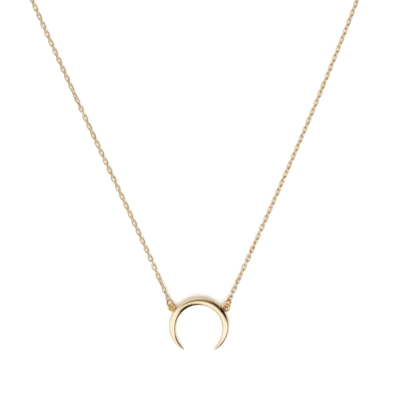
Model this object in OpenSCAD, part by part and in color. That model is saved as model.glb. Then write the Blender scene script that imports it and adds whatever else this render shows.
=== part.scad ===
// Short necklace that lies flat: a crescent pendant with its horns down, hung by two
// jump rings between two runs of fine cable chain, and closed behind the neck by a
// plain ring clasp. The pendant is towards -Y and the clasp towards +Y.

/* [Crescent] */
// Width of the crescent across its widest points
crescent_w = 20; // [17:0.5:23]
// Thickness of the horn at the middle of its arch
horn_d = 2.62; // [2.2:0.02:3]
// Angle from the top of the arch to each tip
tip_angle = 147; // [135:1:152]
// Power of the taper towards the tips, where a higher one is more slender
taper = 0.6; // [0.5:0.05:0.9]
// Tilt of the crescent as it rests, tips down
rest_tilt = 2.3; // [0:0.1:4]

/* [Soldered loops] */
// Angle from the top of the arch to each loop
loop_angle = 53; // [45:1:60]
// Inner width of a loop
loop_in = 1.44; // [1.42:0.02:1.7]
// Wire thickness of a loop
loop_wire = 0.72; // [0.6:0.02:0.74]
// Depth to which a loop's wire sinks into the horn
loop_sunk = 0.2; // [0.1:0.05:0.3]

/* [Jump rings] */
// Inner width of a jump ring
jump_in = 2.2; // [2.15:0.05:2.5]
// Wire thickness of a jump ring
jump_wire = 0.54; // [0.44:0.02:0.56]
// Lean of a jump ring out of the horizontal
jump_lean = 51; // [50:1:56]
// Distance from a loop's centre to the wire of the jump ring in it
jump_pull = 0.1; // [0:0.02:0.14]

/* [Chain links] */
// Outer width of a link
link_w = 1.6; // [1.56:0.01:1.66]
// Wire thickness of a link
link_wire = 0.38; // [0.3:0.01:0.38]
// Distance from one link to the next
link_pitch = 1.64; // [1.6:0.01:1.7]
// Play between a link and the next
link_play = 0.13; // [0.12:0.005:0.14]

/* [Lay of the chain] */
// Angle of the left run from the middle line where it starts
left_spread = 23.35; // [22:0.05:26]
// Length of the left run's lower stretch
left_low = 40; // [30:1:50]
// Angle by which that stretch bows outward
left_low_bow = 1.9; // [0:0.1:3]
// Length of the left run's upper stretch
left_high = 75.2; // [65:0.1:85]
// Angle by which that stretch bows inward
left_high_bow = 1.3; // [0:0.1:3]
// Angle of the right run from the middle line where it starts
right_spread = 24.75; // [23:0.05:27]
// Length of the right run's lower stretch
right_low = 60; // [50:1:70]
// Angle by which that stretch bows inward
right_low_bow = 1.4; // [0:0.1:3]
// Length of the right run's upper stretch
right_high = 59.2; // [50:0.1:70]
// Angle by which that stretch bows inward
right_high_bow = 2.6; // [0:0.1:4]
// Distance from the middle of the crescent's circle to the middle of the clasp
clasp_y = 149.5; // [146:0.5:156]

/* [Clasp] */
// Outer width of the clasp's ring
clasp_w = 5.24; // [4.8:0.02:6]
// Wire thickness of the clasp's ring
clasp_wire = 0.6; // [0.5:0.02:0.6]
// Outer width of the clasp's eye
eye_w = 2.06; // [1.9:0.02:2.3]
// Wire thickness of the clasp's eye
eye_wire = 0.56; // [0.46:0.02:0.6]

/* [Hidden] */
$fn = 48;
LEFT = -1;
RIGHT = 1;
GOLD = [0.87, 0.70, 0.47];
PALE_GOLD = [0.90, 0.74, 0.52];

// Sides of the horn's section, and rings of points along it
horn_sides = 20;
horn_rings = 63;

// Thickness of the horn at an angle from the top of its arch
function horn_d_at(angle) = horn_d * pow(max(0, 1 - pow(angle / tip_angle, 2)), taper);
// Radius of the horn's centre line
arch_r = (crescent_w - horn_d_at(90)) / 2;
// Height of the arch's centre at which the tilted horn just touches the surface
arch_z = max([for (angle = [0:tip_angle])
    horn_d_at(angle) / 2 - arch_r * cos(angle) * sin(rest_tilt)]);

// Centre line radii of the wires
loop_r = (loop_in + loop_wire) / 2;
jump_r = (jump_in + jump_wire) / 2;
link_r = (link_w - link_wire) / 2;
clasp_r = (clasp_w - clasp_wire) / 2;
eye_r = (eye_w - eye_wire) / 2;

// Distance from the arch's centre to a soldered loop, and the loop's place and height
loop_reach = arch_r + horn_d_at(loop_angle) / 2 + (loop_in + loop_wire * 2) / 2 - loop_sunk;
loop_x = loop_reach * sin(loop_angle);
loop_y = loop_reach * cos(loop_angle) * cos(rest_tilt);
loop_z = arch_z + loop_reach * cos(loop_angle) * sin(rest_tilt);

// Height of a jump ring that leans on the surface, and its shift to the side, at which
// its wire goes down through the middle of the loop
jump_z = jump_r * sin(jump_lean) + jump_wire / 2;
jump_shift = (jump_z - loop_z) / tan(jump_lean);
// Distance from the start of a run to its jump ring
jump_at = jump_pull + jump_r;

// Straight length of a link's sides
link_flat = link_pitch + link_play + link_wire * 2 - link_w;
// Height of a link's middle when it stands on its edge
upright_z = link_w / 2;
// Distance from the start of a run to its first link
first_at = jump_at + jump_r - jump_wire / 2 - link_play - link_wire / 2
    + link_r + link_flat / 2;
// Length of chain over which it comes down from the jump ring
come_down = 13;

// Distance from the clasp's middle to its eye and to the last link of each run
eye_at = clasp_r + eye_r;
last_at = [eye_at + eye_r + link_flat / 2, clasp_r + link_flat / 2];
// Length and half thickness of the clasp's thumb lug
lug_l = 0.9;
lug_r = 0.3;

// Roll of the links about the chain against the distance along a run, for the links
// with even numbers. Those with odd numbers are turned a quarter more.
LEFT_ROLL = [
    [0, -24], [5, -24], [7.2, -18], [14.7, -84], [20, -70], [34, -64], [50, -70],
    [66, -63], [70, -68], [82, -152], [96, -157], [114, -152], [130, -165],
    [150, -150], [176, -180], [200, -180]
];
RIGHT_ROLL = [
    [0, -24], [5, -24], [7.2, -18], [14.7, -82], [17.5, -90], [28, -166], [34, -151],
    [60, -147], [80, -152], [104, -146], [130, -160], [155, -150], [176, -180], [200, -180]
];

// Stretches of a run, each with its length and the angle by which it turns inward
LEFT_ROUTE = [[left_low, -left_low_bow], [left_high, left_high_bow]];
RIGHT_ROUTE = [[right_low, right_low_bow], [right_high, right_high_bow]];

function side_of(side, pair) = side == LEFT ? pair[0] : pair[1];
function spread(side) = side_of(side, [left_spread, right_spread]);
function arc_length(radius, angle) = radius * angle * PI / 180;

// Places in a run are [distance from the middle line, y], seen from its own side
function run_start(side) = [
    loop_x - side * jump_shift * cos(spread(side)),
    loop_y + side * jump_shift * sin(spread(side))
];
// Step made by a stretch that starts at a heading from +Y and turns inward
function step(heading, len, turn) = turn == 0
    ? len * [sin(heading), cos(heading)]
    : len / (turn * PI / 180)
        * [cos(heading - turn) - cos(heading), sin(heading) - sin(heading - turn)];
// Place and heading at a distance along a list of stretches
function along(route, dist, place, heading, row = 0) =
    let (len = route[row][0], turn = route[row][1])
    dist <= len || row == len(route) - 1
        ? [place + step(heading, dist, turn * dist / len), heading - turn * dist / len]
        : along(route, dist - len, place + step(heading, len, turn), heading - turn, row + 1);
function total(route) = [for (row = route) row[0]] * [for (row = route) 1];

// A run with its two last stretches: a quarter turn round the shoulder, and a wide arc
// behind the neck that meets the clasp square on
function whole_route(side) =
    let (
        front = side_of(side, [LEFT_ROUTE, RIGHT_ROUTE]),
        end = along(front, total(front), run_start(side), spread(side)),
        heading = end[1],
        gap = [-end[0][0], clasp_y - end[0][1]],
        shoulder_step = [sin(heading) - cos(heading), sin(heading) + cos(heading)],
        nape_step = [-sin(heading), 1 - cos(heading)],
        both = shoulder_step[0] * nape_step[1] - shoulder_step[1] * nape_step[0],
        shoulder_r = (gap[0] * nape_step[1] - gap[1] * nape_step[0]) / both,
        nape_r = (shoulder_step[0] * gap[1] - shoulder_step[1] * gap[0]) / both
    )
    concat(front, [
        [arc_length(shoulder_r, 90), 90],
        [arc_length(nape_r, heading), heading]
    ]);

// Distances along a run at which its links lie: an even number, evenly spaced
function link_places(side) =
    let (
        chain = total(whole_route(side)) - first_at - side_of(side, last_at),
        count = 2 * round((chain / link_pitch + 1) / 2)
    )
    [for (i = [0:count - 1]) first_at + i * chain / (count - 1)];

// Height at which the links near a distance along a run just touch the surface
function lying_z(side, dist) =
    let (table = side_of(side, [LEFT_ROLL, RIGHT_ROLL]))
    link_wire / 2 + link_r * max([for (near = [-link_r, 0, link_r])
        let (roll = lookup(dist + near, table)) max(abs(sin(roll)), abs(cos(roll)))]);
// Height of the chain's middle, which comes down to the surface from the jump ring
function chain_z(side, dist) =
    let (eased = (1 + cos(180 * min(1, max(0, dist - first_at) / come_down))) / 2)
    lying_z(side, dist) * (1 - eased) + jump_z * eased;

left_places = link_places(LEFT);
right_places = link_places(RIGHT);
left_route = whole_route(LEFT);
right_route = whole_route(RIGHT);

// Middle of the whole necklace, which goes to the origin
function farthest_out(side, places, route) = max([for (dist = places)
    along(route, dist, run_start(side), spread(side))[0][0]]) + link_w / 2;
middle_x = (farthest_out(RIGHT, right_places, right_route)
    - farthest_out(LEFT, left_places, left_route)) / 2;
middle_y = (clasp_y + clasp_w / 2 + lug_l + arch_r * cos(tip_angle)) / 2;

echo(necklace_length = total(left_route) + total(right_route)
    + arc_length(loop_reach, loop_angle * 2));
echo(links = [len(left_places), len(right_places)]);
echo(pitches = [left_places[1] - left_places[0], right_places[1] - right_places[0]]);
echo(middle = [middle_x, middle_y]);

module torus(centre_r, wire) {
    rotate_extrude() translate([centre_r, 0]) circle(d = wire);
}

module horn() {
    rings = [for (k = [1:horn_rings])
        let (angle = tip_angle * sin(-90 + 180 * k / (horn_rings + 1)), r = horn_d_at(angle) / 2)
        for (j = [0:horn_sides - 1])
            let (turn = 360 * j / horn_sides, out = arch_r + r * cos(turn))
            [out * sin(angle), out * cos(angle), r * sin(turn)]];
    tips = [for (end = [-1, 1]) arch_r * [end * sin(tip_angle), cos(tip_angle), 0]];
    first_tip = len(rings);
    last_ring = (horn_rings - 1) * horn_sides;
    faces = [
        for (k = [0:horn_rings - 2]) for (j = [0:horn_sides - 1])
            let (a = k * horn_sides, b = a + horn_sides, next = (j + 1) % horn_sides)
            for (face = [[a + j, b + j, b + next], [a + j, b + next, a + next]]) face,
        for (j = [0:horn_sides - 1]) [first_tip, j, (j + 1) % horn_sides],
        for (j = [0:horn_sides - 1])
            [first_tip + 1, last_ring + (j + 1) % horn_sides, last_ring + j]
    ];
    polyhedron(points = concat(rings, tips), faces = faces, convexity = 4);
}

module crescent() {
    color(GOLD)
    centred() translate([0, 0, arch_z]) rotate([rest_tilt, 0, 0]) union() {
        horn();
        for (side = [LEFT, RIGHT])
            rotate(-side * loop_angle) translate([0, loop_reach, 0]) torus(loop_r, loop_wire);
    }
}

// Moves the whole necklace so that the middle of its box is at the origin
module centred() {
    translate([-middle_x, -middle_y, 0]) children();
}

// Puts its children on a run at a distance, a height and a slope, rolled about the run
module on_run(side, route, dist, z, slope, roll) {
    spot = along(route, dist, run_start(side), spread(side));
    translate([side * spot[0][0], spot[0][1], z])
        rotate([slope, 0, -side * spot[1]]) rotate([0, roll, 0]) children();
}

module jump_ring(side, route) {
    color(GOLD)
    centred() on_run(side, route, jump_at, jump_z, 0, jump_lean) torus(jump_r, jump_wire);
}

// Oval link along Y: two round ends and two straight sides
module link() {
    $fn = 24;
    for (turn = [0, 180]) rotate(turn) {
        translate([0, link_flat / 2, 0]) rotate_extrude(angle = 180)
            translate([link_r, 0]) circle(d = link_wire);
        translate([link_r, link_flat / 2, 0]) rotate([90, 0, 0])
            cylinder(d = link_wire, h = link_flat);
    }
}

module chain(side, route, places, rolls) {
    reach = 0.5;
    color(PALE_GOLD)
    centred() for (i = [0:len(places) - 1]) {
        dist = places[i];
        rise = chain_z(side, dist + reach) - chain_z(side, dist - reach);
        on_run(side, route, dist, chain_z(side, dist), atan(rise / (2 * reach)),
            lookup(dist, rolls) + 90 * (i % 2)) link();
    }
}

module clasp() {
    color(GOLD)
    centred() translate([0, clasp_y, upright_z]) union() {
        torus(clasp_r, clasp_wire);
        translate([-eye_at, 0, 0]) torus(eye_r, eye_wire);
        rotate([-90, 0, 0]) translate([0, 0, clasp_r]) cylinder(r = lug_r, h = lug_l);
        translate([0, clasp_r + lug_l, 0]) sphere(r = lug_r);
    }
}

crescent();
jump_ring(LEFT, left_route);  // jump_ring_left
jump_ring(RIGHT, right_route);  // jump_ring_right
chain(LEFT, left_route, left_places, LEFT_ROLL);  // chain_left
chain(RIGHT, right_route, right_places, RIGHT_ROLL);  // chain_right
clasp();
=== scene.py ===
import math

import bpy
import numpy as np
from mathutils import Matrix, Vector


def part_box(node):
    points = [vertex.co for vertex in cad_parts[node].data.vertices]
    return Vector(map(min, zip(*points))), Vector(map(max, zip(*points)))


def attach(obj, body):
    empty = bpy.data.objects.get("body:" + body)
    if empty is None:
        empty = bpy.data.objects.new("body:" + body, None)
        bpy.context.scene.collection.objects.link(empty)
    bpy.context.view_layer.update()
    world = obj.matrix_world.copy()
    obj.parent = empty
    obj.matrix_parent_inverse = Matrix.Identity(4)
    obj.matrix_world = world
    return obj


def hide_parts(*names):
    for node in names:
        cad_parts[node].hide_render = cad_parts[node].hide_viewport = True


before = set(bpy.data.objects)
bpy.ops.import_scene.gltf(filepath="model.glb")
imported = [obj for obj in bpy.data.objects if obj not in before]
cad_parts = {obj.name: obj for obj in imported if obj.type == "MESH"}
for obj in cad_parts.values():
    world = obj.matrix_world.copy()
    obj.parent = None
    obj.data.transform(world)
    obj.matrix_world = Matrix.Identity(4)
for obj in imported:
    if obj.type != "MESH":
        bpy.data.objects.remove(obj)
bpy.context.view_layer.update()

MM = 0.001

# Sizes of the crescent, as in the part's source
CRESCENT_W = 20 * MM
HORN_D = 2.62 * MM
TIP_DEGREES = 147
TIP_ANGLE = math.radians(TIP_DEGREES)
TAPER = 0.6
REST_TILT = math.radians(2.3)
LOOP_ANGLE = math.radians(53)
LOOP_WIRE = 0.72 * MM
LOOP_R = 1.08 * MM
LOOP_SUNK = 0.2 * MM

# Sizes of the rings and links
JUMP_WIRE = 0.54 * MM
JUMP_R = 1.37 * MM
LINK_W = 1.6 * MM
LINK_WIRE = 0.38 * MM
LINK_L = 2.53 * MM
CLASP_W = 5.24 * MM
CLASP_WIRE = 0.6 * MM
EYE_W = 2.06 * MM
EYE_WIRE = 0.56 * MM
LUG_L = 0.9 * MM
LUG_R = 0.3 * MM

# The photograph's frame: its side and the middle of the crescent's circle in pixels, the
# real size of a pixel there, and how far above it the camera is
PHOTO_SIDE = 400
ARCH_PX = (198.8, 327.8)
PIXEL = 0.3384 * MM
CAMERA_HEIGHT = 0.6
SENSOR = 36

X_AXIS, Y_AXIS, Z_AXIS = np.eye(3)


def horn_d_at(angle):
    """Thickness of the horn at an angle from the top of its arch."""
    return HORN_D * max(0.0, 1 - (angle / TIP_ANGLE) ** 2) ** TAPER


# The radius of the arch's centre line, and its middle as the crescent rests: tilted, and just
# high enough to be clear of the surface all along the horn
ARCH_R = (CRESCENT_W - horn_d_at(math.pi / 2)) / 2
low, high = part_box("crescent")
ARCH_X = (low.x + high.x) / 2
ARCH_Y = high.y - (ARCH_R + HORN_D / 2) * math.cos(REST_TILT)
ARCH_Z = max(
    horn_d_at(angle) / 2 - ARCH_R * math.cos(angle) * math.sin(REST_TILT)
    for angle in map(math.radians, range(TIP_DEGREES + 1))
)


# Meshes

# Corners of a CAD node's surface that are closer than this are one
WELD = 0.001 * MM


def unit(vector):
    return vector / np.linalg.norm(vector)


def new_piece(name, vertices, faces, material, slot, *nodes):
    """A smooth mesh piece that stands for CAD nodes and rides on the one body."""
    mesh = bpy.data.meshes.new(name)
    mesh.from_pydata(vertices.tolist(), [], faces)
    mesh.update()
    mesh.shade_smooth()
    mesh.materials.append(material)
    piece = bpy.data.objects.new(name, mesh)
    bpy.context.scene.collection.objects.link(piece)
    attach(piece, "root")
    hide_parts(*nodes)


def tube(centres, outs, ups, radii, sides, ends="closed"):
    """Vertices and faces of a tube: a ring of points round each centre. Its ends are
    closed on each other, flat, or drawn to the first and last centre."""
    turn = 2 * np.pi * np.arange(sides) / sides
    if ends == "pointed":
        tips = centres[[0, -1]]
        centres, outs, ups, radii = centres[1:-1], outs[1:-1], ups[1:-1], radii[1:-1]
    section = (np.cos(turn)[None, :, None] * outs[:, None, :]
               + np.sin(turn)[None, :, None] * ups[:, None, :])
    vertices = (centres[:, None, :] + radii[:, None, None] * section).reshape(-1, 3)
    count = len(centres)
    faces = []
    for k in range(count if ends == "closed" else count - 1):
        a, b = k * sides, (k + 1) % count * sides
        for j in range(sides):
            n = (j + 1) % sides
            faces.append((a + j, b + j, b + n, a + n))
    last = (count - 1) * sides
    if ends == "flat":
        faces.append(tuple(range(sides)))
        faces.append(tuple(last + j for j in reversed(range(sides))))
    if ends == "pointed":
        vertices = np.vstack([vertices, tips])
        first_tip = count * sides
        for j in range(sides):
            n = (j + 1) % sides
            faces.append((first_tip, j, n))
            faces.append((first_tip + 1, last + n, last + j))
    return vertices, faces


def join(parts):
    """Several (vertices, faces) as one."""
    vertices, faces, start = [], [], 0
    for part_vertices, part_faces in parts:
        vertices.append(part_vertices)
        faces += [tuple(start + i for i in face) for face in part_faces]
        start += len(part_vertices)
    return np.vstack(vertices), faces


def ring(centre, out, side, centre_r, wire_r, steps, sides, flare=None):
    """A ring of wire through centre + out and centre + side. flare gives the wire's
    thickness at an angle from out, as a factor."""
    angle = 2 * np.pi * np.arange(steps) / steps
    outs = np.cos(angle)[:, None] * out + np.sin(angle)[:, None] * side
    radii = np.full(steps, wire_r) * (flare(angle) if flare else 1)
    ups = np.tile(np.cross(out, side), (steps, 1))
    return tube(centre + centre_r * outs, outs, ups, radii, sides)


def solids_of(node):
    """The loose solids of a CAD node, each as (middle, three axes from its longest side
    to its shortest), from the shape of its surface."""
    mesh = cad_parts[node].data
    mesh.calc_loop_triangles()
    points = np.empty(len(mesh.vertices) * 3)
    mesh.vertices.foreach_get("co", points)
    corners = np.empty(len(mesh.loop_triangles) * 3, dtype=np.int64)
    mesh.loop_triangles.foreach_get("vertices", corners)
    points, same = np.unique(np.round(points.reshape(-1, 3) / WELD), axis=0, return_inverse=True)
    points = points * WELD
    triangles = same.ravel()[corners].reshape(-1, 3)
    label = np.arange(len(points))
    while True:
        lowest = label.copy()
        np.minimum.at(lowest, triangles.ravel(), np.repeat(label[triangles].min(axis=1), 3))
        lowest = lowest[lowest]
        if (lowest == label).all():
            break
        label = lowest
    found = []
    for one in np.unique(label):
        shape = points[triangles[label[triangles[:, 0]] == one]]
        sides = shape[:, 1:] - shape[:, :1]
        area = np.linalg.norm(np.cross(sides[:, 0], sides[:, 1]), axis=1)
        middles = shape.mean(axis=1)
        centre = (middles * area[:, None]).sum(axis=0) / area.sum()
        weighted = (middles - centre) * np.sqrt(area)[:, None]
        axes = np.linalg.eigh(weighted.T @ weighted)[1].T[::-1]
        long_axis = axes[0] * (1 if axes[0] @ Y_AXIS > 0 else -1)
        normal = axes[2] * (1 if axes[2] @ Z_AXIS > 0 else -1)
        found.append((centre, (long_axis, np.cross(normal, long_axis), normal)))
    return found


# Materials

# The colour's patches and the surface's waves against the grain of the wipe marks, how deep
# the waves are in grains, and how long and which way the marks are drawn
TINT_SCALE = 0.25
WAVE_SCALE = 0.5
WAVE_DEPTH = 0.05
MARK_STRETCH = 6.0
MARK_TURN = math.radians(35)
# The stretch of a noise that counts, for the colour and for the marks, and what the marks
# make of the roughness
TINT_SPREAD = (0.35, 0.65)
MARK_SPREAD = (0.3, 0.7)
MARK_ROUGHNESS = (0.6, 1.5)


def noise(nodes, links, place, scale, detail):
    """A noise over a place, as a value."""
    texture = nodes.new("ShaderNodeTexNoise")
    texture.inputs["Scale"].default_value = scale
    texture.inputs["Detail"].default_value = detail
    links.new(place, texture.inputs["Vector"])
    return texture.outputs["Fac"]


def spread(nodes, links, value, start, end, low=0.0, high=1.0, kind="LINEAR"):
    """A value from start to end, spread from low to high."""
    node = nodes.new("ShaderNodeMapRange")
    node.interpolation_type = kind
    node.inputs["From Min"].default_value = start
    node.inputs["From Max"].default_value = end
    node.inputs["To Min"].default_value = low
    node.inputs["To Max"].default_value = high
    links.new(value, node.inputs["Value"])
    return node.outputs["Result"]


def gold(name, light, deep, roughness, grain, bump):
    """Polished pale gold: an uneven colour between two golds, fine wipe marks in its
    roughness, and a slight unevenness of the surface. grain is the size of the marks."""
    material = bpy.data.materials.new(name)
    material.use_nodes = True
    nodes, links = material.node_tree.nodes, material.node_tree.links
    shader = nodes["Principled BSDF"]
    shader.inputs["Metallic"].default_value = 1.0
    shader.inputs["Specular IOR Level"].default_value = 0.5
    place = nodes.new("ShaderNodeTexCoord").outputs["Object"]

    tint = noise(nodes, links, place, TINT_SCALE / grain, 3)
    colour = nodes.new("ShaderNodeMix")
    colour.data_type = "RGBA"
    colour.inputs["A"].default_value = (*light, 1)
    colour.inputs["B"].default_value = (*deep, 1)
    links.new(spread(nodes, links, tint, *TINT_SPREAD), colour.inputs["Factor"])
    links.new(colour.outputs["Result"], shader.inputs["Base Color"])

    stretch = nodes.new("ShaderNodeMapping")
    stretch.inputs["Scale"].default_value = (1.0, MARK_STRETCH, 1.0)
    stretch.inputs["Rotation"].default_value = (0.0, 0.0, MARK_TURN)
    links.new(place, stretch.inputs["Vector"])
    marks = noise(nodes, links, stretch.outputs["Vector"], 1 / grain, 6)
    least, most = (roughness * factor for factor in MARK_ROUGHNESS)
    links.new(spread(nodes, links, marks, *MARK_SPREAD, least, most), shader.inputs["Roughness"])

    raised = nodes.new("ShaderNodeBump")
    raised.inputs["Strength"].default_value = bump
    raised.inputs["Distance"].default_value = grain * WAVE_DEPTH
    links.new(noise(nodes, links, place, WAVE_SCALE / grain, 2), raised.inputs["Height"])
    links.new(raised.outputs["Normal"], shader.inputs["Normal"])
    return material


def distance_from(material, point):
    """How far a spot of the surface is from a point, as a value in its material."""
    nodes, links = material.node_tree.nodes, material.node_tree.links
    place = nodes.new("ShaderNodeTexCoord")
    away = nodes.new("ShaderNodeVectorMath")
    away.operation = "DISTANCE"
    away.inputs[1].default_value = point
    links.new(place.outputs["Object"], away.inputs[0])
    return away.outputs["Value"]


def distance_right(material):
    """How far a spot of the surface is to the right, as a value in its material."""
    nodes, links = material.node_tree.nodes, material.node_tree.links
    place = nodes.new("ShaderNodeTexCoord")
    parts = nodes.new("ShaderNodeSeparateXYZ")
    links.new(place.outputs["Object"], parts.inputs["Vector"])
    return parts.outputs["X"]


def shade(material, value, edge, full, tone):
    """Darken a material's colour by a tone where a value is at full, fading out at edge."""
    nodes, links = material.node_tree.nodes, material.node_tree.links
    darker = nodes.new("ShaderNodeMix")
    darker.data_type = "RGBA"
    darker.blend_type = "MULTIPLY"
    darker.inputs["B"].default_value = (*tone, 1)
    fade = spread(nodes, links, value, edge, full, kind="SMOOTHSTEP")
    links.new(fade, darker.inputs["Factor"])
    target = nodes["Principled BSDF"].inputs["Base Color"]
    links.new(target.links[0].from_socket, darker.inputs["A"])
    links.new(darker.outputs["Result"], target)


PENDANT_GOLD = gold("pendant_gold", (0.92, 0.75, 0.54), (0.89, 0.71, 0.49), 0.055, 0.8 * MM, 0.15)
RING_LOOK = ((0.94, 0.70, 0.37), (0.85, 0.58, 0.26), 0.10, 0.3 * MM, 0.3)
RING_GOLD = gold("ring_gold", *RING_LOOK)
LOOP_GOLD = gold("loop_gold", *RING_LOOK)
CHAIN_GOLD = gold("chain_gold", (1.0, 0.88, 0.66), (0.90, 0.64, 0.36), 0.05, 0.16 * MM, 0.25)
# Painted shade: the chain's colour is darkened a little on the right, where the light falls darker
# on it; how far from the middle the change reaches, and its tone
RIGHT_SHADE_REACH = 15 * MM
RIGHT_SHADE_TONE = (0.90, 0.87, 0.84)
# Painted shade on the chain's right run, fading in across the middle
shade(CHAIN_GOLD, distance_right(CHAIN_GOLD), -RIGHT_SHADE_REACH, RIGHT_SHADE_REACH, RIGHT_SHADE_TONE)
CLASP_GOLD = gold("clasp_gold", (0.92, 0.75, 0.52), (0.89, 0.70, 0.45), 0.11, 0.4 * MM, 0.25)


# Crescent

HORN_STEPS = 240
HORN_SIDES = 56
LOOP_STEPS = 96
WIRE_SIDES = 24
# From the arch's centre to the horn's outer edge at a loop
HORN_EDGE = ARCH_R + horn_d_at(LOOP_ANGLE) / 2
# The wire of a loop or eye is thicker by this share where it is soldered on, over this angle
SOLDER_SWELL = 0.2
SOLDER_REACH = math.radians(38)
# The loops are darker round their joints with the horn, partly darker solder and partly painted
# shade in the joint: how far from the joint it is darkest and where it ends, and its tone at the
# left joint, side -1, and at the right one
JOINT_SHADE_FULL = 0.55 * MM
JOINT_SHADE_EDGE = 1.3 * MM
JOINT_SHADE_TONES = {-1: (0.75, 0.60, 0.45), 1: (0.45, 0.34, 0.25)}
# Painted shade and dark reflection on the horn round the right joint, in the same way
HORN_SHADE_FULL = 0.8 * MM
HORN_SHADE_EDGE = 1.9 * MM
HORN_SHADE_TONE = (0.15, 0.11, 0.08)


def crescent_place(points):
    """Points of the crescent, drawn flat about its arch's centre, as it rests."""
    tilt = np.array(Matrix.Rotation(REST_TILT, 3, "X"))
    return points @ tilt.T + np.array([ARCH_X, ARCH_Y, ARCH_Z])


def horn():
    """The horn in its own plane, with closer rings of points towards its tips."""
    share = np.sin(np.linspace(-np.pi / 2, np.pi / 2, HORN_STEPS + 1))
    angle = TIP_ANGLE * share
    outs = np.stack([np.sin(angle), np.cos(angle), np.zeros_like(angle)], axis=1)
    radii = np.array([horn_d_at(a) / 2 for a in angle])
    return tube(ARCH_R * outs, outs, np.tile(Z_AXIS, (len(angle), 1)), radii, HORN_SIDES, "pointed")


def loop_way(side):
    """The way from the arch's centre to a loop."""
    return np.array([side * math.sin(LOOP_ANGLE), math.cos(LOOP_ANGLE), 0])


def solder_swell(angle):
    """The factor on a soldered ring's wire at an angle from its free side."""
    return 1 + SOLDER_SWELL * np.exp(-(((angle - np.pi) / SOLDER_REACH) ** 2))


def soldered_loop(side):
    """A loop in the crescent's plane, whose wire swells into its solder at the horn."""
    out = loop_way(side)
    reach = HORN_EDGE + LOOP_R + LOOP_WIRE / 2 - LOOP_SUNK
    return ring(reach * out, out, np.cross(Z_AXIS, out), LOOP_R, LOOP_WIRE / 2,
                LOOP_STEPS, WIRE_SIDES, solder_swell)


# Painted shade at the joints: on each loop round its joint, and on the horn round the right one
def paint_joint_shade():
    joints = {side: crescent_place(HORN_EDGE * loop_way(side)) for side in JOINT_SHADE_TONES}
    for side, tone in JOINT_SHADE_TONES.items():
        shade(LOOP_GOLD, distance_from(LOOP_GOLD, joints[side]), JOINT_SHADE_EDGE, JOINT_SHADE_FULL, tone)
    # Painted dark reflection and shade on the horn round the right joint
    horn_shade_distance = distance_from(PENDANT_GOLD, joints[1])
    shade(PENDANT_GOLD, horn_shade_distance, HORN_SHADE_EDGE, HORN_SHADE_FULL, HORN_SHADE_TONE)


def make_crescent():
    vertices, faces = horn()
    new_piece("crescent_horn", crescent_place(vertices), faces, PENDANT_GOLD,
              "pendant_gold", "crescent")
    vertices, faces = join([soldered_loop(-1), soldered_loop(1)])
    new_piece("crescent_loops", crescent_place(vertices), faces, LOOP_GOLD,
              "ring_gold", "crescent")
    paint_joint_shade()


# Jump rings

# A jump ring's cut: its place from the ring's far end, its half width as an angle, and
# how far one end stands to the side
CUT_PLACE = math.radians(115)
CUT_HALF = math.radians(1.2)
CUT_STEP = 0.008 * MM
JUMP_STEPS = 96


def make_jump_ring(node):
    (centre, axes), = solids_of(node)
    normal = axes[2]
    far = unit(Y_AXIS - (Y_AXIS @ normal) * normal)
    side = np.cross(normal, far)
    angle = np.linspace(CUT_HALF, 2 * np.pi - CUT_HALF, JUMP_STEPS) + CUT_PLACE
    outs = np.cos(angle)[:, None] * far + np.sin(angle)[:, None] * side
    step = np.linspace(-CUT_STEP / 2, CUT_STEP / 2, JUMP_STEPS)[:, None] * normal
    vertices, faces = tube(centre + JUMP_R * outs + step, outs, np.tile(normal, (JUMP_STEPS, 1)),
                           np.full(JUMP_STEPS, JUMP_WIRE / 2), WIRE_SIDES, "flat")
    new_piece(node + "_wire", vertices, faces, RING_GOLD, "ring_gold", node)


# Chains

# Rings of points round each end of a link, and sides of its wire
END_STEPS = 15
LINK_SIDES = 14
# A link's joint in the middle of one long side: half its length, and how much thinner
# the wire is pinched there
JOINT_HALF = 0.12 * MM
JOINT_PINCH = 0.07


def link_shape():
    """An oval link along X with its width along Y."""
    end_r = (LINK_W - LINK_WIRE) / 2
    flat = LINK_L - LINK_W
    half_turn = np.linspace(-np.pi / 2, np.pi / 2, END_STEPS)
    centres, outs, radii = [], [], []
    for sign in (1, -1):
        for angle in half_turn:
            out = sign * np.array([math.cos(angle), math.sin(angle), 0])
            centres.append(sign * flat / 2 * X_AXIS + end_r * out)
            outs.append(out)
            radii.append(LINK_WIRE / 2)
        if sign == 1:
            for along in (JOINT_HALF, 0, -JOINT_HALF):
                centres.append(along * X_AXIS + end_r * Y_AXIS)
                outs.append(Y_AXIS)
                radii.append(LINK_WIRE / 2 * (1 if along else 1 - JOINT_PINCH))
    return tube(np.array(centres), np.array(outs), np.tile(Z_AXIS, (len(outs), 1)),
                np.array(radii), LINK_SIDES)


def make_chain(node):
    vertices, faces = link_shape()
    links = [(centre + vertices @ np.array(axes), faces) for centre, axes in solids_of(node)]
    all_vertices, all_faces = join(links)
    new_piece(node + "_links", all_vertices, all_faces, CHAIN_GOLD, "chain_gold", node)


# Clasp

# Rings of points up the lug's dome, and the radius of the flat that ends it
DOME_STEPS = 9
DOME_FLAT = LUG_R / 50


def thumb_lug(foot):
    """A pin with a domed end, along Y from its foot."""
    dome = np.linspace(0, np.pi / 2, DOME_STEPS)
    along = np.concatenate([[0], LUG_L + LUG_R * np.sin(dome)])
    radii = np.concatenate([[LUG_R], LUG_R * np.cos(dome)])
    radii[-1] = DOME_FLAT
    rings = len(along)
    return tube(foot + along[:, None] * Y_AXIS, np.tile(X_AXIS, (rings, 1)),
                np.tile(-Z_AXIS, (rings, 1)), radii, WIRE_SIDES, "flat")


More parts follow.
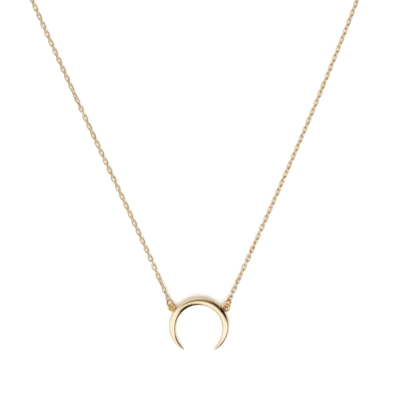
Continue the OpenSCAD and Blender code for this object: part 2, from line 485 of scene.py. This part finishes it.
def make_clasp():
    low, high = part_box("clasp")
    centre = np.array([high.x - CLASP_W / 2, low.y + CLASP_W / 2, (low.z + high.z) / 2])
    clasp_r = (CLASP_W - CLASP_WIRE) / 2
    eye_r = (EYE_W - EYE_WIRE) / 2

    body = ring(centre, X_AXIS, Y_AXIS, clasp_r, CLASP_WIRE / 2, 2 * LOOP_STEPS, WIRE_SIDES)
    eye = ring(centre - (clasp_r + eye_r) * X_AXIS, -X_AXIS, -Y_AXIS, eye_r, EYE_WIRE / 2,
               LOOP_STEPS, WIRE_SIDES, solder_swell)
    vertices, faces = join([body, eye, thumb_lug(centre + clasp_r * Y_AXIS)])
    new_piece("clasp_ring", vertices, faces, CLASP_GOLD, "clasp_gold", "clasp")


# Surroundings

FLOOR_SIDE = 3.0
# How far under zero the floor is, to be clear of the part's lowest spots
FLOOR_DROP = 0.02 * MM
FLOOR_ROUGHNESS = 0.9
# The board has a faint warm glow, so that shadows on it are warm. Its light, a wide lamp
# beyond the crescent's tips and a plain sky, just overexposes it in the open
FLOOR_WHITE = (0.76, 0.815, 0.82)
FLOOR_GLOW = (0.14, 0.05, 0.0)
BOARD_SKY = 0.12
BOARD_LAMP = {"wide lamp": (255, 67, 5, 62, 3.1)}
SKY = 0.37
# Soft patches of the studio, each laid over those before it: azimuth from +X, elevation,
# half width of the full patch and of its soft edge in degrees, and the brightness there
PATCHES = {
    "left soft box": (195, 25, 42, 94, 1.16),
    "right soft box": (0, 40, 37, 42, 1.14),
    "gap above the soft boxes": (75, 35, 38, 62, 0.28),
    "dark end of the room": (35, 15, 16, 42, 0.0),
    "shaded end of the board": (25, -25, 15, 19, 0.0),
    "dark front corner": (-60, -20, 22, 49, 0.02),
    "camera stand": (-65, 30, 10, 14, 0.01),
    "board's near edge": (-135, -10, 24, 52, 0.82),
    "board's far edge": (125, -20, 29, 88, 0.84),
}
# Tints of the studio where it is dark and where it is bright
DIM_TINT = (0.99, 0.60, 0.21)
BRIGHT_TINT = (1.01, 1.11, 1.15)


def direction(azimuth, elevation):
    """The way to a spot of the sky, from its azimuth and elevation in degrees."""
    round_z = math.radians(azimuth)
    up = math.radians(elevation)
    return (math.cos(round_z) * math.cos(up), math.sin(round_z) * math.cos(up), math.sin(up))


def patched_sky(nodes, links, sky, patches):
    """The brightness of a plain sky with soft patches, each laid over those before it."""
    place = nodes.new("ShaderNodeTexCoord")
    value = None
    for azimuth, elevation, full, edge, brightness in patches.values():
        near = nodes.new("ShaderNodeVectorMath")
        near.operation = "DOT_PRODUCT"
        near.inputs[1].default_value = direction(azimuth, elevation)
        links.new(place.outputs["Generated"], near.inputs[0])
        patch = spread(nodes, links, near.outputs["Value"], math.cos(math.radians(edge)),
                       math.cos(math.radians(full)), kind="SMOOTHSTEP")
        blend = nodes.new("ShaderNodeMix")
        blend.inputs["A"].default_value = sky
        blend.inputs["B"].default_value = brightness
        links.new(patch, blend.inputs["Factor"])
        if value:
            links.new(value, blend.inputs["A"])
        value = blend.outputs["Result"]
    return value


def make_world():
    """The gold mirrors the studio's patches, the lamp lights the board, and the camera
    sees plain white."""
    world = bpy.data.worlds.new("studio")
    world.use_nodes = True
    bpy.context.scene.world = world
    nodes, links = world.node_tree.nodes, world.node_tree.links
    mirrored = nodes["Background"]
    value = patched_sky(nodes, links, SKY, PATCHES)
    links.new(value, mirrored.inputs["Strength"])
    tint = nodes.new("ShaderNodeMix")
    tint.data_type = "RGBA"
    tint.inputs["A"].default_value = (*DIM_TINT, 1)
    tint.inputs["B"].default_value = (*BRIGHT_TINT, 1)
    links.new(value, tint.inputs["Factor"])
    links.new(tint.outputs["Result"], mirrored.inputs["Color"])
    lamp = nodes.new("ShaderNodeBackground")
    lamp.inputs["Color"].default_value = (1, 1, 1, 1)
    links.new(patched_sky(nodes, links, BOARD_SKY, BOARD_LAMP), lamp.inputs["Strength"])
    seen = nodes.new("ShaderNodeBackground")
    seen.inputs["Color"].default_value = (1, 1, 1, 1)
    seen.inputs["Strength"].default_value = 1.0
    rays = nodes.new("ShaderNodeLightPath")
    lighting = nodes.new("ShaderNodeMixShader")
    links.new(rays.outputs["Is Glossy Ray"], lighting.inputs["Fac"])
    links.new(lamp.outputs["Background"], lighting.inputs[1])
    links.new(mirrored.outputs["Background"], lighting.inputs[2])
    mix = nodes.new("ShaderNodeMixShader")
    links.new(rays.outputs["Is Camera Ray"], mix.inputs["Fac"])
    links.new(lighting.outputs["Shader"], mix.inputs[1])
    links.new(seen.outputs["Background"], mix.inputs[2])
    links.new(mix.outputs["Shader"], nodes["World Output"].inputs["Surface"])


def make_floor():
    half = FLOOR_SIDE / 2
    mesh = bpy.data.meshes.new("floor")
    mesh.from_pydata([(-half, -half, 0), (half, -half, 0), (half, half, 0), (-half, half, 0)],
                     [], [(0, 1, 2, 3)])
    floor = bpy.data.objects.new("floor", mesh)
    floor.location.z = -FLOOR_DROP
    bpy.context.scene.collection.objects.link(floor)
    material = bpy.data.materials.new("white_board")
    material.use_nodes = True
    shader = material.node_tree.nodes["Principled BSDF"]
    shader.inputs["Base Color"].default_value = (*FLOOR_WHITE, 1)
    shader.inputs["Roughness"].default_value = FLOOR_ROUGHNESS
    shader.inputs["Specular IOR Level"].default_value = 0.0
    shader.inputs["Emission Color"].default_value = (*FLOOR_GLOW, 1)
    shader.inputs["Emission Strength"].default_value = 1.0
    # What the gold reflects comes from the world below the horizon too, so the board lets
    # those rays through
    nodes, links = material.node_tree.nodes, material.node_tree.links
    rays = nodes.new("ShaderNodeLightPath")
    clear = nodes.new("ShaderNodeBsdfTransparent")
    mix = nodes.new("ShaderNodeMixShader")
    links.new(rays.outputs["Is Glossy Ray"], mix.inputs["Fac"])
    links.new(shader.outputs["BSDF"], mix.inputs[1])
    links.new(clear.outputs["BSDF"], mix.inputs[2])
    links.new(mix.outputs["Shader"], nodes["Material Output"].inputs["Surface"])
    mesh.materials.append(material)


def make_camera():
    scene = bpy.context.scene
    data = bpy.data.cameras.new("camera")
    camera = bpy.data.objects.new("camera", data)
    scene.collection.objects.link(camera)
    middle = PHOTO_SIDE / 2
    camera.location = (
        ARCH_X + (middle - ARCH_PX[0]) * PIXEL,
        ARCH_Y + (ARCH_PX[1] - middle) * PIXEL,
        ARCH_Z + CAMERA_HEIGHT,
    )
    data.sensor_width = SENSOR
    data.lens = SENSOR * CAMERA_HEIGHT / (PHOTO_SIDE * PIXEL)
    data.clip_start = 0.01
    data.clip_end = 10
    scene.camera = camera
    scene.view_settings.view_transform = "Standard"


make_crescent()
make_jump_ring("jump_ring_left")
make_jump_ring("jump_ring_right")
make_chain("chain_left")
make_chain("chain_right")
make_clasp()
make_floor()
make_world()
make_camera()
